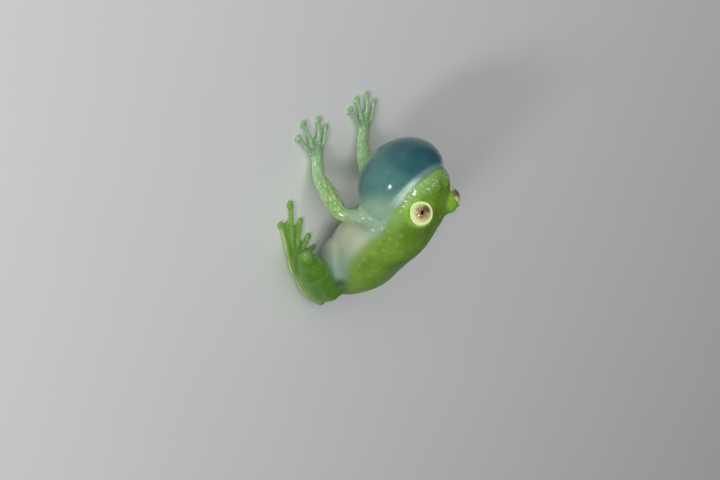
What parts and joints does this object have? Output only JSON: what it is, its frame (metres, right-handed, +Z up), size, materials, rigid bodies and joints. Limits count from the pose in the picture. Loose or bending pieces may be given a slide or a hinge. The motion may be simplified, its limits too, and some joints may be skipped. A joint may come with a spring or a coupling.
{
  "type": "glass frog model",
  "caption": "Life-size still model of a small glass frog, propped on its arms, hind legs folded, with its vocal sac full under the chin",
  "frame": {"origin": "on the ground under the middle of the box round the frog", "axes": "+X runs from the rump to the snout, +Y to the frog's left, +Z up"},
  "size_m": [0.0258, 0.0224, 0.0167],
  "materials": {
    "skin": "wet green skin with pale spots, whiter below, with a fine grain",
    "sac": "smooth wet grey-blue skin, stretched and slightly see-through",
    "eye": "pale yellow iris with brown flecks under a clear wet surface"
  },
  "bodies": {
    "root": {"torso": "skin", "head": "skin", "lower_jaw": "skin", "vocal_sac": "sac", "eye_left": "eye", "eye_right": "eye", "upper_arm_left": "skin", "upper_arm_right": "skin", "forearm_left": "skin", "forearm_right": "skin", "hand_left": "skin", "hand_right": "skin", "thigh_left": "skin", "thigh_right": "skin", "shank_left": "skin", "shank_right": "skin", "tarsus_left": "skin", "tarsus_right": "skin", "foot_left": "skin", "foot_right": "skin"}
  },
  "joints": []
}
